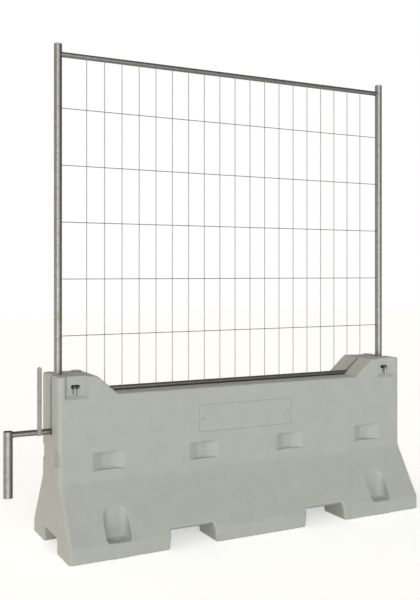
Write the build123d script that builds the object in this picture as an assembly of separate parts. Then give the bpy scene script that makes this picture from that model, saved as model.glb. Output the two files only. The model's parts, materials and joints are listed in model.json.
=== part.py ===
"""Water-filled road barrier with a mesh fence panel, two locking pins and a coupling link.

Millimetres. The origin is the centre of the base on the ground, +X runs along the barrier,
+Y points to its back and +Z is up. The front and the back of the barrier are alike.
"""

from build123d import *
import os

# ---- barrier: overall sizes -------------------------------------------------------------
length = 2000.0
base_width = 538.0
height = 806.0
wall = 6.0

# ---- barrier: cross section -------------------------------------------------------------
foot_height = 68.0
knee_height = 322.0
top_width = 246.0
foot_edge_radius = 40.0
knee_radius = 70.0
end_corner_radius = 20.0
top_edge_radius = 9.0
ground_edge_radius = 8.0

# ---- barrier: shoulders and the saddle between them ---------------------------------------
saddle_drop = 91.0
shoulder_length = 188.0
shoulder_slope_run = 108.0
shoulder_radius = 30.0
saddle_radius = 20.0

# ---- barrier: underside -------------------------------------------------------------------
fork_centre = 382.0
fork_width = 228.0
fork_ground_width = 248.0
fork_height = 82.0
fork_corner_radius = 8.0
fork_mouth_radius = 14.0
drainage_width = 196.0
drainage_height = 70.0
drainage_mouth_radius = 10.0

# ---- barrier: side pockets ----------------------------------------------------------------
pocket_count = 4
pocket_pitch = 507.0
pocket_shift = 7.0
pocket_width = 162.0
pocket_floor_width = 54.0
pocket_height = 80.0
pocket_centre_z = 407.0
pocket_depth = 25.0
pocket_edge_radius = 5.0
pocket_floor_radius = 45.0

# ---- barrier: anchor wells ----------------------------------------------------------------
anchor_x = 754.0
anchor_y = 222.0
anchor_hole_diameter = 25.0
anchor_sink_diameter = 40.0
well_width = 122.0
well_back_y = 184.0
well_corner_radius = 35.0
well_floor_radius = 18.0
well_floor_z = 70.0
well_edge_radius = 6.0

# ---- barrier: notches in the end corners ----------------------------------------------------
notch_centre_z = 430.0
notch_height = 74.0
notch_inner_y = 58.0
notch_depth = 9.0

# ---- sign plates ----------------------------------------------------------------------------
plate_width = 543.0
plate_height = 131.0
plate_thickness = 3.0
plate_gap = 1.5
plate_centre_z = 564.0
plate_screw_inset = 21.0
screw_diameter = 4.0
screw_head_diameter = 8.0
screw_length = 9.0
screw_clearance = 0.25
screw_drive_width = 1.2
screw_drive_depth = 1.4

# ---- fence panel ------------------------------------------------------------------------------
post_x = 961.0
post_diameter = 38.0
post_wall = 1.5
post_above_rail = 46.0
rail_diameter = 25.0
rail_wall = 1.5
panel_height = 1580.0
wire_diameter = 3.6
vertical_wire_count = 19
vertical_wire_pitch = 91.2
horizontal_wire_count = 5
horizontal_wire_pitch = 266.5
top_wire_below_rail = 253.8
mesh_y = -7.5
slot_clearance = 1.0
slot_depth = 3.0
weld_depth = 0.4
post_cap_height = 3.0
post_cap_plug = 12.0
post_cap_clearance = 0.1
post_cap_edge_radius = 2.0

# ---- coupling link and the wells that hold it -----------------------------------------------------
link_tube_diameter = 43.5
link_tube_wall = 2.0
link_tube_bottom_z = 256.0
link_tube_top_z = 558.0
link_reach = 238.0
link_bar_diameter = 27.0
link_bar_z = 542.0
socket_clearance = 2.25
groove_width = 39.0
groove_lip_radius = 12.0
stand_gap = 0.3
post_foot_gap = 40.0
handle_x_from_post = 95.0
handle_width = 21.0
handle_thickness = 8.0
handle_top_z = 846.0
handle_edge_radius = 1.5

# ---- locking pins -----------------------------------------------------------------------------------
pin_slot_x = 910.0
pin_slot_width = 46.0
pin_slot_height = 19.0
pin_diameter = 16.0
left_pin_x = -917.0
right_pin_x = 908.0
pin_rail_play = 10.5
pin_front_leg = 31.0
pin_rear_leg = 40.0
pin_bend_radius = 13.0
pin_leg_gap = 5.0
pin_tip_radius = 2.0
recess_width = 121.0
recess_depth = 21.0
recess_slope_run = 18.0
recess_below_pin = 55.0

# ---- filler caps and drain plug -------------------------------------------------------------------------
left_filler_x = -850.0
right_filler_x = 934.0
filler_y = 60.0
filler_cap_diameter = 50.0
filler_cap_height = 4.0
filler_thread_diameter = 34.0
filler_thread_length = 14.0
filler_bore_diameter = 24.0
filler_collar_wall = 4.0
filler_cap_edge_radius = 1.5
filler_key_width = 4.0
filler_key_length = 26.0
filler_key_depth = 2.0
drain_z = 118.0
drain_recess_diameter = 78.0
drain_recess_depth = 14.0
drain_head_diameter = 44.0
drain_head_height = 9.0
drain_plate_thickness = 3.0
drain_grip_length = 38.0
drain_thread_diameter = 30.0
drain_thread_length = 16.0
drain_bore_diameter = 18.0
drain_collar_wall = 5.0
seal_thickness = 2.0
seal_inset = 1.0
thread_clearance = 0.08

# ---- worked out from the sizes above ------------------------------------------------------------------------
half_length = length / 2
half_base = base_width / 2
half_top = top_width / 2
saddle_z = height - saddle_drop
slope_per_mm = (half_base - half_top) / (knee_height - foot_height)
bottom_rail_z = saddle_z - slot_depth + rail_diameter / 2 + stand_gap
top_rail_z = bottom_rail_z + panel_height
slot_width = rail_diameter + 2 * slot_clearance
pin_z = bottom_rail_z + rail_diameter / 2 + pin_rail_play + pin_diameter / 2
pin_slot_z = pin_z + pin_slot_height / 2 - pin_diameter / 2 - stand_gap
socket_diameter = link_tube_diameter + 2 * socket_clearance
socket_floor_z = link_tube_bottom_z - stand_gap
groove_floor_z = link_bar_z - link_bar_diameter / 2 - stand_gap
reach_beyond = 60.0
pick_gap = 1.0
pick_touch = 0.1


def slope_half_width(z):
    """Distance of the lower slope from the middle plane at height z."""
    return half_base - slope_per_mm * (z - foot_height)


def side_plane(z, depth=0.0):
    """Upright plane at height z, set back by depth from the front side; its normal points out."""
    return Plane(origin=(0, -half_top + depth, z), x_dir=(1, 0, 0), z_dir=(0, -1, 0))


def both_sides(solid):
    """The solid and its copy turned half round the vertical axis."""
    return [solid, Rot(0, 0, 180) * solid]


def four_corners(solid):
    """The solid mirrored into the four quarters of the plan."""
    left = solid.mirror(Plane.YZ)
    return [solid, left, solid.mirror(Plane.XZ), left.mirror(Plane.XZ)]


def both_ends(solid):
    """The solid and its mirror image at the other end of the barrier."""
    return [solid, solid.mirror(Plane.YZ)]


def upright(x, y, bottom, top, diameter):
    """Vertical cylinder between two heights."""
    return Pos(x, y, (bottom + top) / 2) * Cylinder(diameter / 2, top - bottom)


def group(solids):
    """Separate solids held together as one sub-part."""
    return Compound([piece.solid() for piece in solids])


def tube(outside, thickness, depth):
    """Hollow round tube standing on the ground plane."""
    ring = Circle(outside / 2) - Circle(outside / 2 - thickness)
    return extrude(ring, amount=depth)


def cross_section(inset):
    """Closed outline of the barrier across its length, in Y and Z."""
    points = [
        (half_base, 0),
        (half_base, foot_height),
        (half_top, knee_height),
        (half_top, height),
        (-half_top, height),
        (-half_top, knee_height),
        (-half_base, foot_height),
        (-half_base, 0),
    ]
    face = make_face(Polyline(*points, close=True))
    if inset:
        face = offset(face, amount=-inset, kind=Kind.INTERSECTION)
    corners = face.vertices()
    foot_corners = [v for v in corners if abs(v.Y - foot_height) < 2 * wall]
    knee_corners = [v for v in corners if abs(v.Y - knee_height) < 2 * wall]
    face = fillet(foot_corners, foot_edge_radius)
    knee_corners = [v for v in face.vertices() if abs(v.Y - knee_height) < 2 * wall]
    return fillet(knee_corners, knee_radius)


def side_outline(inset):
    """Closed outline of the barrier along its length, in X and Z, with the saddle."""
    slope_top = half_length - shoulder_length
    slope_foot = slope_top - shoulder_slope_run
    points = [
        (-half_length, 0),
        (half_length, 0),
        (half_length, height),
        (slope_top, height),
        (slope_foot, saddle_z),
        (-slope_foot, saddle_z),
        (-slope_top, height),
        (-half_length, height),
    ]
    face = make_face(Polyline(*points, close=True))
    if inset:
        face = offset(face, amount=-inset, kind=Kind.INTERSECTION)
    tops = [v for v in face.vertices() if abs(v.X) < slope_top + 2 * wall and v.Y > height - 2 * wall]
    face = fillet(tops, shoulder_radius)
    feet = [v for v in face.vertices() if abs(v.X) < slope_foot + 2 * wall and v.Y > saddle_z - 2 * wall]
    feet = [v for v in feet if v.Y < saddle_z + wall]
    return fillet(feet, saddle_radius)


def envelope(inset):
    """Whole outer form of the barrier, without its hollows, drawn in by inset on every side."""
    along = extrude(Plane.YZ * cross_section(inset), amount=half_length - inset, both=True)
    across = extrude(Plane.XZ * side_outline(inset), amount=half_base, both=True)
    return along & across


def fork_channels(grow):
    """Two channels across the underside for the forks of a truck, wider at the ground."""
    top = fork_height + grow
    half_ceiling = fork_width / 2 + grow
    splay = (fork_ground_width - fork_width) / 2 / fork_height
    half_low = half_ceiling + splay * (top + reach_beyond)
    points = [
        (-half_ceiling, top),
        (half_ceiling, top),
        (half_low, -reach_beyond),
        (-half_low, -reach_beyond),
    ]
    profile = make_face(Polyline(*points, close=True))
    profile = fillet([v for v in profile.vertices() if v.Y > 0], fork_corner_radius + grow)
    tool = extrude(Plane.XZ * Pos(fork_centre, 0) * profile, amount=half_base + reach_beyond, both=True)
    return both_ends(tool)


def drainage_channel(grow):
    """Channel along the whole underside that lets water run beneath the barrier."""
    width = drainage_width + 2 * grow
    top = drainage_height + grow
    return [Box(length + 2 * reach_beyond, width, 2 * top)]


def side_pockets(grow):
    """Pockets in both sides, narrower at their floor, that stiffen the shell."""
    depth = pocket_depth + grow
    mouth = pocket_width / 2 + grow
    floor = pocket_floor_width / 2 + grow
    splay = (pocket_width - pocket_floor_width) / 2 / pocket_depth
    front = half_top
    outer = mouth + splay * reach_beyond
    points = [
        (-floor, -front + depth),
        (floor, -front + depth),
        (outer, -front - reach_beyond),
        (-outer, -front - reach_beyond),
    ]
    plan = make_face(Polyline(*points, close=True))
    floor_corners = [v for v in plan.vertices() if v.Y > -front]
    plan = fillet(floor_corners, pocket_floor_radius)
    prism = Pos(0, 0, pocket_centre_z) * extrude(plan, amount=pocket_height / 2 + grow, both=True)
    first = pocket_shift - (pocket_count - 1) / 2 * pocket_pitch
    pockets = []
    for number in range(pocket_count):
        pockets += both_sides(Pos(first + number * pocket_pitch, 0, 0) * prism)
    return pockets


def anchor_wells(grow):
    """Wells in the lower slope, round at their inner corners, that carry the anchor holes."""
    back = well_back_y - grow
    run = half_base + reach_beyond - back
    plan = RectangleRounded(well_width + 2 * grow, run, well_corner_radius + grow)
    well = extrude(plan, amount=knee_height - well_floor_z + grow)
    well = fillet(well.edges().group_by(Axis.Z)[0], well_floor_radius + grow)
    return four_corners(Pos(anchor_x, -back - run / 2, well_floor_z - grow) * well)


def anchor_holes(grow):
    """Countersunk holes from the floor of each well to the ground."""
    hole = upright(anchor_x, -anchor_y, -reach_beyond, well_floor_z, anchor_hole_diameter + 2 * grow)
    sink_depth = (anchor_sink_diameter - anchor_hole_diameter) / 2
    sink = Pos(anchor_x, -anchor_y, well_floor_z - sink_depth / 2 - grow) * Cone(
        anchor_hole_diameter / 2 + grow, anchor_sink_diameter / 2 + grow, sink_depth
    )
    return four_corners(hole + sink)


def corner_notches(grow):
    """Shallow notches in the four upright corners of the ends."""
    depth = notch_depth + grow
    inner = notch_inner_y - grow
    rise = notch_height / 2 + grow
    outline = make_face(
        Polyline(
            (half_length - depth, notch_centre_z - rise + depth),
            (half_length - depth, notch_centre_z + rise - depth),
            (half_length + reach_beyond, notch_centre_z + rise + reach_beyond),
            (half_length + reach_beyond, notch_centre_z - rise - reach_beyond),
            close=True,
        )
    )
    tool = extrude(Plane.XZ * outline, amount=half_base)
    return four_corners(Pos(0, -inner, 0) * tool)


def rail_slot(grow):
    """Slot along the middle of the top that takes the panel's bottom rail and its wires."""
    floor = saddle_z - slot_depth - grow
    rise = height + reach_beyond - floor
    return [Pos(0, 0, floor + rise / 2) * Box(2 * post_x, slot_width + 2 * grow, rise)]


def post_sockets(grow):
    """Round wells in both ends for the link tubes and the feet of the posts."""
    diameter = socket_diameter + 2 * grow
    return both_ends(upright(post_x, 0, socket_floor_z - grow, height + reach_beyond, diameter))


def end_grooves(grow):
    """Grooves with rounded lips that open the wells to the end faces and pass the link bar."""
    floor = groove_floor_z - grow
    rise = height + reach_beyond - floor
    run = half_length + reach_beyond - post_x
    lip_x = half_length - groove_lip_radius
    lip_y = groove_width / 2 + groove_lip_radius
    plan = Pos(post_x + run / 2, 0) * Rectangle(run, groove_width + 2 * grow)
    flare_run = half_length + reach_beyond - lip_x
    plan += Pos(lip_x + flare_run / 2, 0) * Rectangle(flare_run, 2 * lip_y)
    plan -= Pos(lip_x, lip_y) * Circle(groove_lip_radius - grow)
    plan -= Pos(lip_x, -lip_y) * Circle(groove_lip_radius - grow)
    return both_ends(Pos(0, 0, floor) * extrude(plan, amount=rise))


def pin_recesses(grow):
    """Flat recesses, open at the top, in which the legs of the locking pins turn."""
    splay = recess_slope_run / recess_depth
    floor_half = recess_width / 2 - recess_slope_run + grow
    floor_low = -recess_below_pin + recess_slope_run - grow
    reach = recess_depth + reach_beyond / 2
    grown = reach * splay
    top = height
    solid = loft(
        [
            side_plane(pin_z, recess_depth + grow)
            * Pos(pin_slot_x, (floor_low + top) / 2)
            * Rectangle(2 * floor_half, top - floor_low),
            side_plane(pin_z, recess_depth + grow - reach)
            * Pos(pin_slot_x, (floor_low - grown + top) / 2)
            * Rectangle(2 * (floor_half + grown), top - floor_low + grown),
        ]
    )
    return four_corners(solid)


def pin_slots(grow):
    """Flat slots through both lips for the locking pins."""
    profile = SlotOverall(pin_slot_width + 2 * grow, pin_slot_height + 2 * grow)
    tool = extrude(Plane.XZ * Pos(pin_slot_x, pin_slot_z) * profile, amount=half_top, both=True)
    return both_ends(tool)


def plate_recesses(grow):
    """Flat recesses in both sides that hold the sign plates flush."""
    depth = plate_thickness + grow
    reach = depth + wall
    outline = Rectangle(plate_width + 2 * plate_gap + 2 * grow, plate_height + 2 * plate_gap + 2 * grow)
    return both_sides(extrude(side_plane(plate_centre_z, depth) * outline, amount=reach))


def screw_holes(grow):
    """Blind holes for the screws of the sign plates."""
    drop = screw_length + grow
    holes = []
    for side in (-1, 1):
        spot = side_plane(plate_centre_z, drop) * Pos(side * (plate_width / 2 - plate_screw_inset), 0)
        holes += both_sides(extrude(spot * Circle(screw_diameter / 2 + screw_clearance + grow), amount=drop))
    return holes


def filler_places():
    """Centres of the two filler openings, in plan."""
    return [(left_filler_x, filler_y), (right_filler_x, filler_y)]


def filler_holes():
    """Round holes in the shoulders for the filler collars."""
    diameter = filler_thread_diameter + 2 * filler_collar_wall
    return [upright(x, y, height - 2 * wall, height + wall, diameter) for x, y in filler_places()]


def drain_recess(grow):
    """Round recess in the right end for the head of the drain plug."""
    depth = drain_recess_depth + grow
    plane = Plane(origin=(half_length - depth, 0, drain_z), z_dir=(1, 0, 0))
    return [extrude(plane * Circle(drain_recess_diameter / 2 + grow), amount=depth + reach_beyond)]


def drain_hole():
    """Round hole in the floor of the drain recess for the drain collar."""
    depth = drain_recess_depth + 2 * wall
    plane = Plane(origin=(half_length - depth, 0, drain_z), z_dir=(1, 0, 0))
    return [extrude(plane * Circle(drain_thread_diameter / 2 + drain_collar_wall), amount=depth)]


def hollows(grow):
    """Every hollow that leaves the shell whole; grown by the wall, they bound the water tank."""
    tools = fork_channels(grow)
    tools += drainage_channel(grow)
    tools += side_pockets(grow)
    tools += anchor_wells(grow)
    tools += anchor_holes(grow)
    tools += corner_notches(grow)
    tools += rail_slot(grow)
    tools += post_sockets(grow)
    tools += end_grooves(grow)
    tools += pin_recesses(grow)
    tools += pin_slots(grow)
    tools += plate_recesses(grow)
    tools += screw_holes(grow)
    tools += drain_recess(grow)
    return tools


def edges_near(solid, test):
    """Edges whose middle passes the test, given as a function of x, y and z without signs."""
    chosen = []
    for edge in solid.edges():
        middle = edge.center()
        if test(abs(middle.X), abs(middle.Y), abs(middle.Z)):
            chosen.append(edge)
    return chosen


def end_edges(block, inset):
    """Edges between the ends and the sides of a block drawn in by inset."""
    face = half_length - inset
    low = inset + pick_gap
    high = height - inset - pick_gap
    return edges_near(block, lambda x, y, z: abs(x - face) < pick_touch and low < z < high)


def rounded_block():
    """Outer form with its end corners and top edges rounded."""
    block = envelope(0)
    block = fillet(end_edges(block, 0), end_corner_radius)
    lowest = saddle_z - pick_gap
    rim = half_top - end_corner_radius
    tops = edges_near(block, lambda x, y, z: z > lowest and (y > rim or x > half_length - pick_gap))
    return fillet(tops, top_edge_radius)


def channelled_block():
    """Rounded block with the channels of its underside cut and their mouths rolled."""
    block = rounded_block() - fork_channels(0)
    half_fork = fork_ground_width / 2 + pick_gap
    ceiling = fork_height + pick_gap
    outside = half_base - fork_mouth_radius
    mouths = edges_near(
        block,
        lambda x, y, z: pick_gap < z < ceiling and y > outside and abs(x - fork_centre) < half_fork,
    )
    block = fillet(mouths, fork_mouth_radius)
    block -= drainage_channel(0)
    half_drain = drainage_width / 2 + pick_gap
    ceiling = drainage_height + pick_gap
    end = half_length - pick_gap
    mouths = edges_near(block, lambda x, y, z: pick_gap < z < ceiling and y < half_drain and x > end)
    block = fillet(mouths, drainage_mouth_radius)
    return fillet(edges_near(block, lambda x, y, z: z < pick_touch), ground_edge_radius)


def outer_block():
    """Solid of the barrier's whole outer surface."""
    block = channelled_block() - side_pockets(0)
    face = half_top - pick_touch
    half_pocket = pocket_height / 2 + pick_gap
    inboard = half_length - end_corner_radius - pick_gap
    rims = edges_near(
        block,
        lambda x, y, z: abs(z - pocket_centre_z) < half_pocket and y > face and x < inboard,
    )
    block = fillet(rims, pocket_edge_radius)
    block -= anchor_wells(0)
    half_well = well_width / 2 + pick_gap
    rims = edges_near(
        block,
        lambda x, y, z: abs(x - anchor_x) < half_well
        and well_floor_z - pick_gap < z < knee_height
        and abs(y - slope_half_width(z)) < 2 * pick_gap,
    )
    block = fillet(rims, well_edge_radius)
    for tools in (
        anchor_holes(0),
        corner_notches(0),
        rail_slot(0),
        post_sockets(0),
        end_grooves(0),
        pin_recesses(0),
        pin_slots(0),
        plate_recesses(0),
        screw_holes(0),
        drain_recess(0),
        filler_holes(),
        drain_hole(),
    ):
        block -= tools
    return block


def water_tank():
    """Space for the water, kept one wall thickness away from the outside and every hollow."""
    block = envelope(wall)
    return fillet(end_edges(block, wall), end_corner_radius - wall) - hollows(wall)


def barrier_body():
    """Hollow rotationally moulded shell: the outer block less the water tank inside it."""
    return outer_block() - water_tank()


def sign_plate():
    """Flat plate that fills the recess in the front side, with countersunk holes."""
    plane = side_plane(plate_centre_z, plate_thickness)
    plate = extrude(plane * Rectangle(plate_width, plate_height), amount=plate_thickness)
    for side in (-1, 1):
        plate -= screw_shape(side, screw_clearance)
    return plate


def screw_shape(side, grow):
    """Countersunk screw at one end of the front sign plate, grown on its radius by grow."""
    x = side * (plate_width / 2 - plate_screw_inset)
    head_depth = (screw_head_diameter - screw_diameter) / 2
    length_in = screw_length - 2 * screw_clearance
    shank = extrude(
        side_plane(plate_centre_z, length_in) * Pos(x, 0) * Circle(screw_diameter / 2 + grow),
        amount=length_in - head_depth,
    )
    head = loft(
        [
            side_plane(plate_centre_z, head_depth) * Pos(x, 0) * Circle(screw_diameter / 2 + grow),
            side_plane(plate_centre_z, 0) * Pos(x, 0) * Circle(screw_head_diameter / 2 + grow),
        ]
    )
    return shank + head


def sign_plate_screws():
    """Four screws, two in each sign plate."""
    drive = screw_head_diameter / 2
    screws = []
    for side in (-1, 1):
        x = side * (plate_width / 2 - plate_screw_inset)
        plane = side_plane(plate_centre_z, screw_drive_depth) * Pos(x, 0)
        cross = extrude(plane * Rectangle(drive, screw_drive_width), amount=screw_drive_depth)
        cross += extrude(plane * Rectangle(screw_drive_width, drive), amount=screw_drive_depth)
        screws += both_sides(screw_shape(side, 0) - cross)
    return group(screws)


def filler_collar(x):
    """Threaded ring fixed in the shoulder, which the filler cap screws into."""
    outside = filler_thread_diameter + 2 * filler_collar_wall
    depth = filler_thread_length + seal_thickness
    bore = filler_thread_diameter / 2 + thread_clearance
    ring = extrude(Circle(outside / 2) - Circle(bore), amount=depth)
    return Pos(x, filler_y, height - depth) * ring


def filler_seal(x):
    """Flat rubber ring between the filler cap and the shoulder."""
    outside = filler_cap_diameter / 2 - seal_inset
    ring = Circle(outside) - Circle(filler_thread_diameter / 2 + seal_inset)
    return Pos(x, filler_y, height) * extrude(ring, amount=seal_thickness)


def filler_cap(x):
    """Low round cap with a hollow threaded plug and a cross-shaped key recess."""
    top = height + seal_thickness + filler_cap_height
    head = extrude(Circle(filler_cap_diameter / 2), amount=-filler_cap_height)
    head = fillet(head.edges().group_by(Axis.Z)[-1], filler_cap_edge_radius)
    plug = Pos(0, 0, -filler_cap_height) * extrude(
        Circle(filler_thread_diameter / 2) - Circle(filler_bore_diameter / 2),
        amount=-filler_thread_length,
    )
    key = extrude(SlotOverall(filler_key_length, filler_key_width), amount=-filler_key_depth)
    return Pos(x, filler_y, top) * (head + plug - key - Rot(0, 0, 90) * key)


def drain_plane():
    """Plane on the floor of the drain recess, with its normal out of the end face."""
    return Plane(origin=(half_length - drain_recess_depth, 0, drain_z), z_dir=(1, 0, 0))


def drain_collar():
    """Threaded ring fixed in the floor of the drain recess."""
    outside = drain_thread_diameter + 2 * drain_collar_wall
    ring = Circle(outside / 2) - Circle(drain_thread_diameter / 2 + thread_clearance)
    return extrude(drain_plane() * ring, amount=-(drain_thread_length + seal_thickness))


def drain_seal():
    """Flat rubber ring under the head of the drain plug."""
    outside = drain_head_diameter / 2 - seal_inset
    ring = Circle(outside) - Circle(drain_thread_diameter / 2 + seal_inset)
    return extrude(drain_plane() * ring, amount=seal_thickness)


def drain_plug():
    """Plug with a hollow thread and a round head that carries a straight grip."""
    plane = drain_plane().offset(seal_thickness)
    plate = extrude(plane * Circle(drain_head_diameter / 2), amount=drain_plate_thickness)
    grip_face = plane * SlotOverall(drain_grip_length, drain_head_height)
    grip = extrude(grip_face, amount=drain_head_height)
    thread = extrude(
        plane * (Circle(drain_thread_diameter / 2) - Circle(drain_bore_diameter / 2)),
        amount=-drain_thread_length,
    )
    return plate + grip + thread


def post_foot_z():
    """Height of the foot of each post, inside the well."""
    return link_tube_bottom_z + post_foot_gap


def post_top_z():
    """Height of the upper end of each post."""
    return top_rail_z + post_above_rail


def post(side):
    """Upright tube of the fence panel; side is -1 at the left and 1 at the right."""
    return Pos(side * post_x, 0, post_foot_z()) * tube(post_diameter, post_wall, post_top_z() - post_foot_z())


def post_caps():
    """Two plastic plugs that close the upper ends of the posts."""
    head = extrude(Circle(post_diameter / 2), amount=post_cap_height)
    head = fillet(head.edges().group_by(Axis.Z)[-1], post_cap_edge_radius)
    plug_radius = post_diameter / 2 - post_wall - post_cap_clearance
    cap = head + extrude(Circle(plug_radius), amount=-post_cap_plug)
    return group([Pos(side * post_x, 0, post_top_z()) * cap for side in (-1, 1)])


def posts_outline():
    """Solid cylinders as large as the posts, used to cope what is welded to them."""
    return [
        upright(side * post_x, 0, post_foot_z(), post_top_z(), post_diameter) for side in (-1, 1)
    ]


def rail(z):
    """Horizontal tube between the posts with its ends coped to them."""
    plane = Plane(origin=(-post_x, 0, z), z_dir=(1, 0, 0))
    ring = Circle(rail_diameter / 2) - Circle(rail_diameter / 2 - rail_wall)
    whole = extrude(plane * ring, amount=2 * post_x)
    pieces = (whole - posts_outline()).solids()
    return max(pieces, key=lambda piece: piece.volume)


def rails_outline():
    """Solid cylinders as large as the rails, used to cope the wires."""
    cylinders = []
    for z in (bottom_rail_z, top_rail_z):
        plane = Plane(origin=(-post_x, 0, z), z_dir=(1, 0, 0))
        cylinders.append(extrude(plane * Circle(rail_diameter / 2), amount=2 * post_x))
    return cylinders


def vertical_wires():
    """Upright wires of the mesh, welded between the two rails."""
    wires = []
    first = -(vertical_wire_count - 1) / 2 * vertical_wire_pitch
    for number in range(vertical_wire_count):
        x = first + number * vertical_wire_pitch
        wire = upright(x, mesh_y, bottom_rail_z, top_rail_z, wire_diameter) - rails_outline()
        wires.append(wire)
    return group(wires)


def horizontal_wire(number):
    """One level wire of the mesh, welded in front of the upright wires and to both posts."""
    z = top_rail_z - top_wire_below_rail - number * horizontal_wire_pitch
    y = mesh_y - wire_diameter + weld_depth
    plane = Plane(origin=(-post_x, y, z), z_dir=(1, 0, 0))
    whole = extrude(plane * Circle(wire_diameter / 2), amount=2 * post_x)
    pieces = (whole - posts_outline()).solids()
    return max(pieces, key=lambda piece: piece.volume)


def link_tube(x):
    """Upright tube of the link, centred on x."""
    depth = link_tube_top_z - link_tube_bottom_z
    return Pos(x, 0, link_tube_bottom_z) * tube(link_tube_diameter, link_tube_wall, depth)


def link_bar():
    """Round bar that joins the two tubes of the link, coped to both."""
    plane = Plane(origin=(-post_x, 0, link_bar_z), z_dir=(-1, 0, 0))
    bar = extrude(plane * Circle(link_bar_diameter / 2), amount=link_reach)
    for x in (-post_x, -post_x - link_reach):
        bar -= upright(x, 0, link_tube_bottom_z, link_tube_top_z, link_tube_diameter)
    return bar


def link_handle():
    """Flat lifting handle welded to the front of the link bar, round at its top."""
    x = -post_x - handle_x_from_post
    bottom = link_bar_z - link_bar_diameter / 2
    straight = handle_top_z - handle_width / 2 - bottom
    face = Pos(x, bottom + straight / 2) * Rectangle(handle_width, straight)
    face += Pos(x, bottom + straight) * Circle(handle_width / 2)
    inner = -link_bar_diameter / 2 + weld_depth
    plane = Plane(origin=(0, inner, 0), x_dir=(1, 0, 0), z_dir=(0, -1, 0))
    blade = extrude(plane * face, amount=handle_thickness)
    rims = blade.edges().group_by(Axis.Y)
    return fillet(rims[0] + rims[-1], handle_edge_radius)


def locking_pin(x):
    """Round bar bent down at both ends, passing over the bottom rail through both lips."""
    front = half_top - recess_depth + pin_leg_gap + pin_diameter / 2
    path = FilletPolyline(
        (x, -front, pin_z - pin_front_leg),
        (x, -front, pin_z),
        (x, front, pin_z),
        (x, front, pin_z - pin_rear_leg),
        radius=pin_bend_radius,
    )
    profile = Plane(origin=path @ 0, z_dir=path % 0) * Circle(pin_diameter / 2)
    bar = sweep(profile, path=path)
    ends = bar.faces().filter_by(Plane.XY)
    return fillet([edge for face in ends for edge in face.edges()], pin_tip_radius)


def build_parts():
    """Every sub-part by name."""
    front_plate = sign_plate()
    parts = {
        "barrier_body": barrier_body(),
        "front_sign_plate": front_plate,
        "rear_sign_plate": Rot(0, 0, 180) * front_plate,
        "sign_plate_screws": sign_plate_screws(),
        "drain_collar": drain_collar(),
        "drain_seal": drain_seal(),
        "drain_plug": drain_plug(),
        "post_caps": post_caps(),
        "top_rail": rail(top_rail_z),
        "bottom_rail": rail(bottom_rail_z),
        "vertical_wires": vertical_wires(),
        "link_inner_tube": link_tube(-post_x),
        "link_outer_tube": link_tube(-post_x - link_reach),
        "link_bar": link_bar(),
        "link_handle": link_handle(),
    }
    for name, x in (("left", left_filler_x), ("right", right_filler_x)):
        parts[name + "_filler_collar"] = filler_collar(x)
        parts[name + "_filler_seal"] = filler_seal(x)
        parts[name + "_filler_cap"] = filler_cap(x)
    for name, side, pin_x in (("left", -1, left_pin_x), ("right", 1, right_pin_x)):
        parts[name + "_post"] = post(side)
        parts[name + "_locking_pin"] = locking_pin(pin_x)
    for number in range(horizontal_wire_count):
        parts["horizontal_wire_" + str(number + 1)] = horizontal_wire(number)
    return parts


os.makedirs("parts", exist_ok=True)
for name, solid in build_parts().items():
    export_step(solid, "parts/" + name + ".step")
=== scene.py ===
"""Looks of a water-filled road barrier with a mesh fence panel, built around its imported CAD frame."""

import json
import logging
import math
from dataclasses import dataclass, field
from enum import Enum
from typing import Any, Optional

import bpy
import numpy as np
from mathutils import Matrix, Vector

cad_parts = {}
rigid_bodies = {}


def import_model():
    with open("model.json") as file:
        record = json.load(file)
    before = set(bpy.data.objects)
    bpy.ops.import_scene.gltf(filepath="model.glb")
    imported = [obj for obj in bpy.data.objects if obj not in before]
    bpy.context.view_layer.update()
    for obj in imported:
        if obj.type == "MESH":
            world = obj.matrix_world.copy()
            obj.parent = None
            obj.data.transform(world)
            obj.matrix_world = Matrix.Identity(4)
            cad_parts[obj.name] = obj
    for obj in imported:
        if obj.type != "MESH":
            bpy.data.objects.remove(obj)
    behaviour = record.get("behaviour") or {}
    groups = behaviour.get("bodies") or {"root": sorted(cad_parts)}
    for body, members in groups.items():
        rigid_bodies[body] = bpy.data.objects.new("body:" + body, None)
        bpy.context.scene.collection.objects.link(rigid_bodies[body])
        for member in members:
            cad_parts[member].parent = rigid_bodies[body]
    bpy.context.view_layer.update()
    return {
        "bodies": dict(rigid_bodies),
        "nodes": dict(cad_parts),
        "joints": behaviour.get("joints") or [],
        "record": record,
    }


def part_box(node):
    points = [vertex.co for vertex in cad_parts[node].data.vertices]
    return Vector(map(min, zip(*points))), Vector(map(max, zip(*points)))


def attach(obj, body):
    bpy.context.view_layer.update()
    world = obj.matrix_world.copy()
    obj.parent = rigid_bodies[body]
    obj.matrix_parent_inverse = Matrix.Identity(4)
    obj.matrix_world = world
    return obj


LOG = logging.getLogger("barrier")
MM = 0.001
MERGE_DIGITS = 6


class Body(Enum):
    """Moving groups of the frame that finished pieces ride on."""

    PANEL = "fence_panel"
    LINK = "coupling_link"


def linear(hex_colour: str) -> tuple[float, float, float, float]:
    """Turn an sRGB hex colour into the linear values that shaders take.

    Args:
        hex_colour: Six hex digits, such as "b2b5ad".

    Returns:
        Red, green, blue and alpha, with alpha at 1.
    """
    steps = np.array([int(hex_colour[i : i + 2], 16) for i in (0, 2, 4)]) / 255
    values = np.where(steps <= 0.04045, steps / 12.92, ((steps + 0.055) / 1.055) ** 2.4)
    return (float(values[0]), float(values[1]), float(values[2]), 1.0)


def per_metre(size_mm: float) -> float:
    """Scale of a texture, in repeats per metre, for a feature of a size in millimetres."""
    return 1 / (size_mm * MM)


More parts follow.
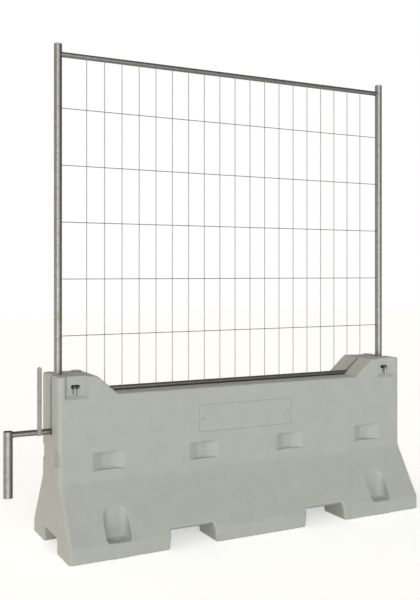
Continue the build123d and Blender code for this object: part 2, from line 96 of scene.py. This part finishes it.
def add_node(
    tree: bpy.types.NodeTree,
    kind: str,
    settings: Optional[dict[str, Any]] = None,
    links: Optional[dict[Any, bpy.types.NodeSocket]] = None,
) -> bpy.types.Node:
    """Add one shader node with its settings and links.

    Args:
        tree: Node tree that takes the node.
        kind: Blender's type name of the node.
        settings: Node properties by name, and socket values by "in:" and the socket's name or number.
        links: Sockets of other nodes that feed this node's inputs, by input name or number.

    Returns:
        The new node.
    """
    node = tree.nodes.new(kind)
    for name, value in (settings or {}).items():
        if name.startswith("in:"):
            key = name[3:]
            node.inputs[int(key) if key.isdigit() else key].default_value = value
        else:
            setattr(node, name, value)
    for name, socket in (links or {}).items():
        tree.links.new(socket, node.inputs[name])
    return node


def ramp(
    tree: bpy.types.NodeTree,
    factor: bpy.types.NodeSocket,
    stops: list[tuple[float, tuple[float, float, float, float]]],
) -> bpy.types.NodeSocket:
    """Map a factor to colours.

    Args:
        tree: Node tree that takes the ramp.
        factor: Socket that drives it.
        stops: Positions and their linear colours, two or more.

    Returns:
        The ramp's colour output.
    """
    node = add_node(tree, "ShaderNodeValToRGB", links={0: factor})
    elements = node.color_ramp.elements
    while len(elements) < len(stops):
        elements.new(0.5)
    for element, (position, colour) in zip(elements, stops):
        element.position = position
        element.color = colour
    return node.outputs[0]


def new_material(name: str) -> tuple[bpy.types.Material, bpy.types.NodeTree, bpy.types.Node]:
    """Make an empty node material.

    Args:
        name: Name of the material.

    Returns:
        The material, its node tree, and its Principled shader already joined to the output.
    """
    material = bpy.data.materials.new(name)
    material.use_nodes = True
    tree = material.node_tree
    tree.nodes.clear()
    shader = add_node(tree, "ShaderNodeBsdfPrincipled")
    add_node(tree, "ShaderNodeOutputMaterial", links={"Surface": shader.outputs[0]})
    return material, tree, shader


@dataclass(frozen=True)
class RotomouldedPolyethylene:
    """Light grey polyethylene, moulded by rotation: matt, waxy, faintly mottled and orange-peeled."""

    name: str = "rotomoulded_polyethylene"
    light: str = "b9bbb7"
    middle: str = "b6b8b4"
    dark: str = "b3b5b0"
    tones_at: tuple[float, float, float] = (0.45, 0.65, 0.85)
    mottle_mm: float = 70.0
    mottle_detail: float = 3.0
    mottle_roughness: float = 0.55
    speckle_mm: float = 5.0
    speckle_share: float = 0.3
    speckle_detail: float = 2.0
    peel_mm: float = 9.0
    peel_detail: float = 2.0
    peel_depth_mm: float = 0.6
    peel_strength: float = 0.10
    wave_mm: float = 120.0
    wave_detail: float = 1.0
    wave_depth_mm: float = 6.0
    wave_strength: float = 0.12
    roughness: tuple[float, float] = (0.50, 0.64)
    ior: float = 1.51

    def build(self) -> bpy.types.Material:
        """Broad mottling from the cooling mould, fine pigment speckle and a peel in the bump."""
        material, tree, shader = new_material(self.name)
        place = add_node(tree, "ShaderNodeTexCoord").outputs["Object"]
        mottle = add_node(
            tree,
            "ShaderNodeTexNoise",
            {
                "in:Scale": per_metre(self.mottle_mm),
                "in:Detail": self.mottle_detail,
                "in:Roughness": self.mottle_roughness,
            },
            {"Vector": place},
        )
        speckle = add_node(
            tree,
            "ShaderNodeTexNoise",
            {"in:Scale": per_metre(self.speckle_mm), "in:Detail": self.speckle_detail},
            {"Vector": place},
        )
        mixed = add_node(
            tree,
            "ShaderNodeMath",
            {"operation": "MULTIPLY_ADD", "in:1": self.speckle_share},
            {0: speckle.outputs[0], 2: mottle.outputs[0]},
        )
        tones = [linear(tone) for tone in (self.dark, self.middle, self.light)]
        stops = list(zip(self.tones_at, tones))
        tree.links.new(ramp(tree, mixed.outputs[0], stops), shader.inputs["Base Color"])
        peel = add_node(
            tree,
            "ShaderNodeTexNoise",
            {"in:Scale": per_metre(self.peel_mm), "in:Detail": self.peel_detail},
            {"Vector": place},
        )
        wave = add_node(
            tree,
            "ShaderNodeTexNoise",
            {"in:Scale": per_metre(self.wave_mm), "in:Detail": self.wave_detail},
            {"Vector": place},
        )
        fine = add_node(
            tree,
            "ShaderNodeBump",
            {"in:Strength": self.peel_strength, "in:Distance": self.peel_depth_mm * MM},
            {"Height": peel.outputs[0]},
        )
        broad = add_node(
            tree,
            "ShaderNodeBump",
            {"in:Strength": self.wave_strength, "in:Distance": self.wave_depth_mm * MM},
            {"Height": wave.outputs[0], "Normal": fine.outputs[0]},
        )
        tree.links.new(broad.outputs[0], shader.inputs["Normal"])
        rough = add_node(
            tree,
            "ShaderNodeMapRange",
            {"in:To Min": self.roughness[0], "in:To Max": self.roughness[1]},
            {"Value": mottle.outputs[0]},
        )
        tree.links.new(rough.outputs[0], shader.inputs["Roughness"])
        shader.inputs["IOR"].default_value = self.ior
        return material


@dataclass(frozen=True)
class GalvanisedSteel:
    """Galvanised steel tube and wire: dull grey zinc with a faint spangle and a fine grain."""

    name: str = "galvanised_steel"
    light: str = "858580"
    dark: str = "7b7a76"
    tones_at: tuple[float, float] = (0.2, 0.857143)
    spangle_mm: float = 14.0
    grain_mm: float = 2.0
    grain_share: float = 0.4
    grain_detail: float = 2.0
    grain_depth_mm: float = 0.2
    grain_strength: float = 0.08
    roughness: tuple[float, float] = (0.33, 0.44)

    def build(self) -> bpy.types.Material:
        """Zinc spangle as cells, broken up by fine noise, in colour and roughness."""
        material, tree, shader = new_material(self.name)
        place = add_node(tree, "ShaderNodeTexCoord").outputs["Object"]
        spangle = add_node(
            tree,
            "ShaderNodeTexVoronoi",
            {"in:Scale": per_metre(self.spangle_mm)},
            {"Vector": place},
        )
        grain = add_node(
            tree,
            "ShaderNodeTexNoise",
            {"in:Scale": per_metre(self.grain_mm), "in:Detail": self.grain_detail},
            {"Vector": place},
        )
        grey = add_node(tree, "ShaderNodeSeparateColor", links={0: spangle.outputs["Color"]})
        mixed = add_node(
            tree,
            "ShaderNodeMath",
            {"operation": "MULTIPLY_ADD", "in:1": self.grain_share},
            {0: grain.outputs[0], 2: grey.outputs[0]},
        )
        stops = list(zip(self.tones_at, (linear(self.dark), linear(self.light))))
        tree.links.new(ramp(tree, mixed.outputs[0], stops), shader.inputs["Base Color"])
        rough = add_node(
            tree,
            "ShaderNodeMapRange",
            {"in:To Min": self.roughness[0], "in:To Max": self.roughness[1]},
            {"Value": grey.outputs[1]},
        )
        tree.links.new(rough.outputs[0], shader.inputs["Roughness"])
        bump = add_node(
            tree,
            "ShaderNodeBump",
            {"in:Strength": self.grain_strength, "in:Distance": self.grain_depth_mm * MM},
            {"Height": grain.outputs[0]},
        )
        tree.links.new(bump.outputs[0], shader.inputs["Normal"])
        shader.inputs["Metallic"].default_value = 1.0
        return material


@dataclass(frozen=True)
class PlainFinish:
    """Small moulded or turned pieces: one colour, broken by fine noise in its tone and its bump."""

    name: str
    light: str
    dark: str
    grain_mm: float
    roughness: float
    metallic: float = 0.0
    ior: float = 1.5
    tones_at: tuple[float, float] = (0.3, 0.7)
    grain_detail: float = 3.0
    grain_depth_mm: float = 0.2
    grain_strength: float = 0.15

    def build(self) -> bpy.types.Material:
        """Fine grain between two tones, with a matching bump."""
        material, tree, shader = new_material(self.name)
        place = add_node(tree, "ShaderNodeTexCoord").outputs["Object"]
        grain = add_node(
            tree,
            "ShaderNodeTexNoise",
            {"in:Scale": per_metre(self.grain_mm), "in:Detail": self.grain_detail},
            {"Vector": place},
        )
        stops = list(zip(self.tones_at, (linear(self.dark), linear(self.light))))
        tree.links.new(ramp(tree, grain.outputs[0], stops), shader.inputs["Base Color"])
        bump = add_node(
            tree,
            "ShaderNodeBump",
            {"in:Strength": self.grain_strength, "in:Distance": self.grain_depth_mm * MM},
            {"Height": grain.outputs[0]},
        )
        tree.links.new(bump.outputs[0], shader.inputs["Normal"])
        shader.inputs["Roughness"].default_value = self.roughness
        shader.inputs["Metallic"].default_value = self.metallic
        shader.inputs["IOR"].default_value = self.ior
        return material


def dress(frame: dict[str, Any], nodes: list[str], material: bpy.types.Material) -> None:
    """Give CAD nodes a finish.

    Args:
        frame: The loaded frame.
        nodes: Names of the nodes.
        material: Finish for all of them.
    """
    for name in nodes:
        mesh = frame["nodes"][name].data
        mesh.materials.clear()
        mesh.materials.append(material)
        LOG.info("dressed %s in %s", name, material.name)


def node_box(node: str) -> tuple[np.ndarray, np.ndarray]:
    """Lowest and highest corner of a CAD node, as arrays in metres."""
    low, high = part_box(node)
    return np.array(low), np.array(high)


def ball(steps: int) -> tuple[np.ndarray, np.ndarray]:
    """Unit ball as a cube blown up to a sphere.

    Args:
        steps: Quads along each edge of the cube.

    Returns:
        Points as rows, and quads as rows of point numbers.
    """
    line = np.linspace(-1, 1, steps + 1)
    grid = np.stack(np.meshgrid(line, line, indexing="ij"), axis=-1).reshape(-1, 2)
    corner = np.arange((steps + 1) ** 2).reshape(steps + 1, steps + 1)
    quads = np.stack([corner[:-1, :-1], corner[1:, :-1], corner[1:, 1:], corner[:-1, 1:]], axis=-1)
    quads = quads.reshape(-1, 4)
    points, faces = [], []
    for axis in range(3):
        for side in (-1, 1):
            points.append(np.insert(grid, axis, side, axis=1))
            turned = quads if (side > 0) == (axis != 1) else quads[:, ::-1]
            faces.append(turned + len(faces) * len(grid))
    merged, numbers = np.unique(np.concatenate(points).round(MERGE_DIGITS), axis=0, return_inverse=True)
    merged /= np.linalg.norm(merged, axis=1, keepdims=True)
    return merged, numbers.reshape(-1)[np.concatenate(faces)]


@dataclass
class WeldRun:
    """Welds gathered into one mesh: closed beads round a joint and single nuggets."""

    ripple: float = 0.14
    ripples: int = 22
    turns: int = 10
    steps: int = 72
    points: list[np.ndarray] = field(default_factory=list)
    quads: list[np.ndarray] = field(default_factory=list)

    def add(self, points: np.ndarray, quads: np.ndarray) -> None:
        """Add one closed surface with its normals turned outwards.

        Args:
            points: Points as rows, in metres.
            quads: Quads as rows of point numbers.
        """
        a, b, c, d = (points[quads[:, i]] - points.mean(axis=0) for i in range(4))
        volume = np.sum(a * np.cross(b, c)) + np.sum(a * np.cross(c, d))
        self.quads.append((quads if volume > 0 else quads[:, ::-1]) + sum(map(len, self.points)))
        self.points.append(points)

    def nugget(self, centre: np.ndarray, radii: tuple[float, float, float], steps: int = 2) -> None:
        """Add one drop of weld metal.

        Args:
            centre: Its middle, in metres.
            radii: Its three radii, in metres.
            steps: Quads along each edge of the cube it is made from.
        """
        points, quads = ball(steps)
        self.add(points * np.array(radii) + centre, quads)

    def saddle(self, foot: np.ndarray, side: int, bar: float, post: float, bead: float) -> None:
        """Add the bead where a level round bar along X meets an upright round post.

        Args:
            foot: Point where the bar's axis meets the post's axis, in metres.
            side: 1 if the bar leaves the post towards +X, otherwise -1.
            bar: Radius of the bar.
            post: Radius of the post.
            bead: Radius of the bead.
        """
        angle = np.arange(self.steps) / self.steps * 2 * np.pi
        round_bar = np.stack([0 * angle, np.cos(angle), np.sin(angle)], axis=1)
        centre = foot + bar * round_bar
        centre[:, 0] += side * np.sqrt(post**2 - (centre[:, 1]) ** 2)
        along = np.tile([side, 0.0, 0.0], (self.steps, 1))
        size = bead * (1 + self.ripple * np.sin(angle * self.ripples))
        turn = np.arange(self.turns) / self.turns * 2 * np.pi
        out = np.cos(turn)[None, :, None] * round_bar[:, None]
        ring = out + np.sin(turn)[None, :, None] * along[:, None]
        points = centre[:, None] + size[:, None, None] * ring
        number = np.arange(self.steps * self.turns).reshape(self.steps, self.turns)
        after = np.roll(number, -1, axis=0)
        quads = np.stack([number, after, np.roll(after, -1, axis=1), np.roll(number, -1, axis=1)], axis=-1)
        self.add(points.reshape(-1, 3), quads.reshape(-1, 4))

    def build(self, name: str, body: Body, material: bpy.types.Material) -> bpy.types.Object:
        """Make the object that rides on a body.

        Args:
            name: Name of the piece.
            body: Body it moves with.
            material: Its finish.

        Returns:
            The new object.
        """
        mesh = bpy.data.meshes.new(name)
        mesh.from_pydata(np.concatenate(self.points), [], np.concatenate(self.quads))
        mesh.polygons.foreach_set("use_smooth", np.ones(len(mesh.polygons), dtype=bool))
        mesh.materials.append(material)
        piece = bpy.data.objects.new(name, mesh)
        bpy.context.scene.collection.objects.link(piece)
        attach(piece, body.value)
        LOG.info("%s: %d quads on %s", name, len(mesh.polygons), body.value)
        return piece


@dataclass
class BarrierShell:
    """Moulded body with its flush plates."""

    finish: RotomouldedPolyethylene = RotomouldedPolyethylene()
    screws: PlainFinish = PlainFinish("stainless_screw", "8e8c86", "75736d", 1.0, 0.35, 1.0)

    def build(self, frame: dict[str, Any]) -> None:
        """Dress the body, the plates and their screws."""
        dress(frame, ["barrier_body", "front_sign_plate", "rear_sign_plate"], self.finish.build())
        dress(frame, ["sign_plate_screws"], self.screws.build())


@dataclass
class Closures:
    """Filler caps and drain plug with their collars and seals."""

    fitting: PlainFinish = PlainFinish("moulded_fitting", "aeb0a8", "a4a69e", 3.0, 0.45)
    rubber: PlainFinish = PlainFinish("seal_rubber", "1c1c1c", "121212", 2.0, 0.7)

    def build(self, frame: dict[str, Any]) -> None:
        """Dress caps, plug and collars in plastic, and the seals in rubber."""
        hard = [name for name in frame["nodes"] if name.endswith(("_cap", "_collar", "_plug"))]
        dress(frame, hard, self.fitting.build())
        dress(frame, [name for name in frame["nodes"] if name.endswith("_seal")], self.rubber.build())


@dataclass
class FencePanel:
    """Posts, rails and mesh, with the welds between them."""

    columns: int = 19
    rows: int = 5
    rail_bead: float = 2.2 * MM
    wire_bead: float = 0.9 * MM
    nugget: tuple[float, float, float] = (2.6 * MM, 2.2 * MM, 2.6 * MM)
    cap: PlainFinish = PlainFinish("post_cap_plastic", "a3a399", "97978d", 3.0, 0.5)

    def crossings(self, weld: WeldRun) -> None:
        """Welds between the wires, and between the upright wires and the rails."""
        low, high = node_box("vertical_wires")
        thick = high[1] - low[1]
        columns = np.linspace(low[0] + thick / 2, high[0] - thick / 2, self.columns)
        depth = (low[1] + high[1]) / 2
        for row in range(self.rows):
            low_wire, high_wire = node_box(f"horizontal_wire_{row + 1}")
            middle = (low_wire + high_wire) / 2
            for x in columns:
                weld.nugget(np.array([x, (depth + middle[1]) / 2, middle[2]]), self.nugget)
        for rail, side in (("bottom_rail", 1), ("top_rail", -1)):
            low_rail, high_rail = node_box(rail)
            middle = (low_rail + high_rail) / 2
            radius = (high_rail[2] - low_rail[2]) / 2
            rise = side * math.sqrt(radius**2 - (depth - middle[1]) ** 2)
            for x in columns:
                weld.nugget(np.array([x, depth, middle[2] + rise]), self.nugget)

    def ends(self, weld: WeldRun) -> None:
        """Beads where the rails and the level wires meet the posts."""
        bars = ["bottom_rail", "top_rail"] + [f"horizontal_wire_{row + 1}" for row in range(self.rows)]
        for post, side in (("left_post", 1), ("right_post", -1)):
            low_post, high_post = node_box(post)
            for bar in bars:
                low, high = node_box(bar)
                middle = (low + high) / 2
                foot = np.array([(low_post[0] + high_post[0]) / 2, middle[1], middle[2]])
                bead = self.rail_bead if bar.endswith("rail") else self.wire_bead
                weld.saddle(foot, side, (high[2] - low[2]) / 2, (high_post[0] - low_post[0]) / 2, bead)

    def build(self, frame: dict[str, Any], steel: bpy.types.Material) -> None:
        """Dress the panel and add its welds.

        Args:
            frame: The loaded frame.
            steel: Finish of tubes and wires.
        """
        tubes = [name for name in frame["nodes"] if name.endswith(("_post", "_rail"))]
        dress(frame, tubes + [name for name in frame["nodes"] if "wire" in name], steel)
        dress(frame, ["post_caps"], self.cap.build())
        weld = WeldRun()
        self.crossings(weld)
        self.ends(weld)
        weld.build("panel_welds", Body.PANEL, steel)


@dataclass
class CouplingLink:
    """Two tubes, bar and lifting handle, with the welds between them."""

    bead: float = 2.4 * MM
    drops: int = 13
    drop_steps: int = 3
    reach_degrees: float = 52.0

    def build(self, frame: dict[str, Any], steel: bpy.types.Material) -> None:
        """Dress the link and add its welds.

        Args:
            frame: The loaded frame.
            steel: Finish of all of it.
        """
        dress(frame, [name for name in frame["nodes"] if name.startswith("link_")], steel)
        low, high = node_box("link_bar")
        radius = (high[2] - low[2]) / 2
        level = (low[2] + high[2]) / 2
        weld = WeldRun()
        for tube, side in (("link_inner_tube", -1), ("link_outer_tube", 1)):
            low_tube, high_tube = node_box(tube)
            foot = np.array([(low_tube[0] + high_tube[0]) / 2, 0, level])
            weld.saddle(foot, side, radius, (high_tube[0] - low_tube[0]) / 2, self.bead)
        low, high = node_box("link_handle")
        for x in (low[0], high[0]):
            for angle in np.radians(np.linspace(-self.reach_degrees, self.reach_degrees, self.drops)):
                spot = np.array([x, -radius * math.cos(angle), level + radius * math.sin(angle)])
                weld.nugget(spot, (self.bead, self.bead, self.bead), self.drop_steps)
        weld.build("link_welds", Body.LINK, steel)


@dataclass
class LockingPins:
    """Bent pins of zinc plated bar."""

    zinc: PlainFinish = PlainFinish("zinc_plated_bar", "94928b", "86847d", 1.5, 0.36, 1.0)

    def build(self, frame: dict[str, Any]) -> None:
        """Dress both pins."""
        dress(frame, ["left_locking_pin", "right_locking_pin"], self.zinc.build())


@dataclass
class Studio:
    """Pale floor, soft light from the front left and the camera."""

    floor_size: float = 40.0
    eye: tuple[float, float, float] = (-2.1163, -3.4759, 1.2824)
    turn_degrees: float = -25.142
    lens: float = 46.615
    shift: tuple[float, float] = (0.10, -0.0459)
    key: tuple[float, float, float, float] = (1.9, 2.0, 2.08, 1.0)
    left: tuple[float, float, float, float] = (0.93, 0.885, 0.79, 1.0)
    right: tuple[float, float, float, float] = (0.30, 0.295, 0.285, 1.0)
    ceiling: float = 0.5
    key_from: tuple[float, float, float] = (-0.26, -0.966, 0.0)
    left_from: tuple[float, float, float] = (-1.0, 0.0, 0.0)
    key_edge: tuple[float, float] = (0.86, 0.97)
    left_edge: tuple[float, float] = (0.25, 0.9)
    ceiling_edge: tuple[float, float] = (0.2, 0.9)
    floor_tone: str = "f7f7f5"
    floor_roughness: float = 0.9
    strength: float = 1.21
    floor_glow: float = 0.5
    # Painted shade on the floor: centres of the dark squares under the anchor holes, and their half-width,
    # in metres.
    anchor_hole: tuple[float, float] = (0.754, 0.222)
    hole_shade: float = 0.045

    def surroundings(self, tree: bpy.types.NodeTree, aim: bpy.types.NodeSocket) -> bpy.types.NodeSocket:
        """Light that arrives from a direction: bright front, warm left, dim right, darker ceiling.

        Args:
            tree: Node tree that takes the nodes.
            aim: Direction from the object, as a vector.

        Returns:
            Socket with the light's colour.
        """
        key = add_node(
            tree,
            "ShaderNodeVectorMath",
            {"operation": "DOT_PRODUCT", "in:1": self.key_from},
            {0: aim},
        )
        side = add_node(
            tree,
            "ShaderNodeVectorMath",
            {"operation": "DOT_PRODUCT", "in:1": self.left_from},
            {0: aim},
        )
        toward_key = add_node(
            tree, "ShaderNodeMapRange", {"in:From Min": -1.0}, {"Value": key.outputs["Value"]}
        )
        toward_side = add_node(
            tree, "ShaderNodeMapRange", {"in:From Min": -1.0}, {"Value": side.outputs["Value"]}
        )
        dark = linear("000000")
        edge, full = self.key_edge
        front = ramp(tree, toward_key.outputs[0], [(0.0, dark), (edge, dark), (full, self.key)])
        left = ramp(tree, toward_side.outputs[0], list(zip(self.left_edge, (self.right, self.left))))
        both = add_node(
            tree,
            "ShaderNodeMix",
            {"data_type": "RGBA", "blend_type": "ADD", "in:0": 1.0},
            {6: left, 7: front},
        )
        height = add_node(tree, "ShaderNodeSeparateXYZ", links={0: aim}).outputs[2]
        ceiling = add_node(
            tree,
            "ShaderNodeMapRange",
            {
                "in:From Min": self.ceiling_edge[0],
                "in:From Max": self.ceiling_edge[1],
                "in:To Min": 1.0,
                "in:To Max": self.ceiling,
            },
            {"Value": height},
        )
        return add_node(
            tree,
            "ShaderNodeVectorMath",
            {"operation": "SCALE"},
            {0: both.outputs[2], "Scale": ceiling.outputs[0]},
        ).outputs[0]

    def outside_painted_hole_shade(self, tree: bpy.types.NodeTree) -> bpy.types.NodeSocket:
        """Mask of the painted shade under the barrier's anchor holes, where the floor's camera glow is
        left out.

        Args:
            tree: Node tree that takes the nodes.

        Returns:
            Socket that is zero in a square round each hole and one elsewhere.
        """
        spot = add_node(tree, "ShaderNodeNewGeometry").outputs["Position"]
        fold = add_node(tree, "ShaderNodeVectorMath", {"operation": "ABSOLUTE"}, {0: spot})
        axes = add_node(tree, "ShaderNodeSeparateXYZ", links={0: fold.outputs[0]}).outputs
        spans = [
            add_node(
                tree,
                "ShaderNodeMath",
                {"operation": "COMPARE", "in:1": centre, "in:2": self.hole_shade},
                {0: axis},
            )
            for axis, centre in zip(axes, self.anchor_hole)
        ]
        both = add_node(
            tree,
            "ShaderNodeMath",
            {"operation": "MULTIPLY"},
            {0: spans[0].outputs[0], 1: spans[1].outputs[0]},
        )
        shade = add_node(
            tree,
            "ShaderNodeMath",
            {"operation": "SUBTRACT", "in:0": 1.0},
            {1: both.outputs[0]},
        )
        return shade.outputs[0]

    def floor(self) -> bpy.types.Object:
        """A large flat floor, lit up for the camera, that mirrors the surroundings for shiny metal, with
        painted shade under the anchor holes.
        """
        half = self.floor_size / 2
        mesh = bpy.data.meshes.new("floor")
        corners = [(-half, -half, 0), (half, -half, 0), (half, half, 0), (-half, half, 0)]
        mesh.from_pydata(corners, [], [(0, 1, 2, 3)])
        floor = bpy.data.objects.new("floor", mesh)
        bpy.context.scene.collection.objects.link(floor)
        material, tree, shader = new_material("studio_floor")
        shader.inputs["Base Color"].default_value = linear(self.floor_tone)
        shader.inputs["Roughness"].default_value = self.floor_roughness
        path = add_node(tree, "ShaderNodeLightPath")
        incoming = add_node(tree, "ShaderNodeNewGeometry").outputs["Incoming"]
        # The incoming direction is turned round and laid flat, so that metal sees the horizon's light.
        aim = add_node(
            tree,
            "ShaderNodeVectorMath",
            {"operation": "MULTIPLY", "in:1": (-1.0, -1.0, 0.0)},
            {0: incoming},
        )
        mirrored = add_node(
            tree,
            "ShaderNodeVectorMath",
            {"operation": "SCALE"},
            {0: self.surroundings(tree, aim.outputs[0]), "Scale": path.outputs["Is Glossy Ray"]},
        )
        seen = add_node(
            tree,
            "ShaderNodeMath",
            {"operation": "MULTIPLY", "in:1": self.floor_glow},
            {0: path.outputs["Is Camera Ray"]},
        )
        # Painted shade: the camera glow is left out in a square under each anchor hole, so the floor seen
        # through the holes looks dark.
        lit = add_node(
            tree,
            "ShaderNodeMath",
            {"operation": "MULTIPLY"},
            {0: seen.outputs[0], 1: self.outside_painted_hole_shade(tree)},
        )
        glow = add_node(
            tree,
            "ShaderNodeVectorMath",
            {"operation": "ADD"},
            {0: mirrored.outputs[0], 1: lit.outputs[0]},
        )
        tree.links.new(glow.outputs[0], shader.inputs["Emission Color"])
        shader.inputs["Emission Strength"].default_value = 1.0
        mesh.materials.append(material)
        return floor

    def world(self) -> None:
        """Soft surroundings, seen as plain white by the camera itself."""
        world = bpy.data.worlds.new("studio")
        bpy.context.scene.world = world
        world.use_nodes = True
        tree = world.node_tree
        tree.nodes.clear()
        aim = add_node(tree, "ShaderNodeTexCoord").outputs["Generated"]
        light = add_node(
            tree,
            "ShaderNodeBackground",
            {"in:Strength": self.strength},
            {"Color": self.surroundings(tree, aim)},
        )
        seen = add_node(tree, "ShaderNodeBackground", {"in:Color": (1, 1, 1, 1), "in:Strength": 1.0})
        path = add_node(tree, "ShaderNodeLightPath")
        mixed = add_node(
            tree,
            "ShaderNodeMixShader",
            links={0: path.outputs["Is Camera Ray"], 1: light.outputs[0], 2: seen.outputs[0]},
        )
        add_node(tree, "ShaderNodeOutputWorld", links={"Surface": mixed.outputs[0]})

    def camera(self) -> None:
        """Level camera in front of the left end."""
        data = bpy.data.cameras.new("camera")
        data.lens = self.lens
        data.shift_x, data.shift_y = self.shift
        camera = bpy.data.objects.new("camera", data)
        camera.location = self.eye
        camera.rotation_euler = (math.pi / 2, 0, math.radians(self.turn_degrees))
        bpy.context.scene.collection.objects.link(camera)
        bpy.context.scene.camera = camera

    def build(self) -> None:
        """Set the whole stage."""
        self.camera()
        self.floor()
        self.world()
        bpy.context.scene.view_settings.view_transform = "Standard"
        LOG.info("stage set")


def main() -> None:
    """Load the frame, set the stage and build the looks of every sub-assembly."""
    logging.basicConfig(level=logging.INFO, format="%(name)s: %(message)s")
    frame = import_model()
    Studio().build()
    steel = GalvanisedSteel().build()
    BarrierShell().build(frame)
    Closures().build(frame)
    FencePanel().build(frame, steel)
    CouplingLink().build(frame, steel)
    LockingPins().build(frame)


if __name__ == "__main__":
    main()
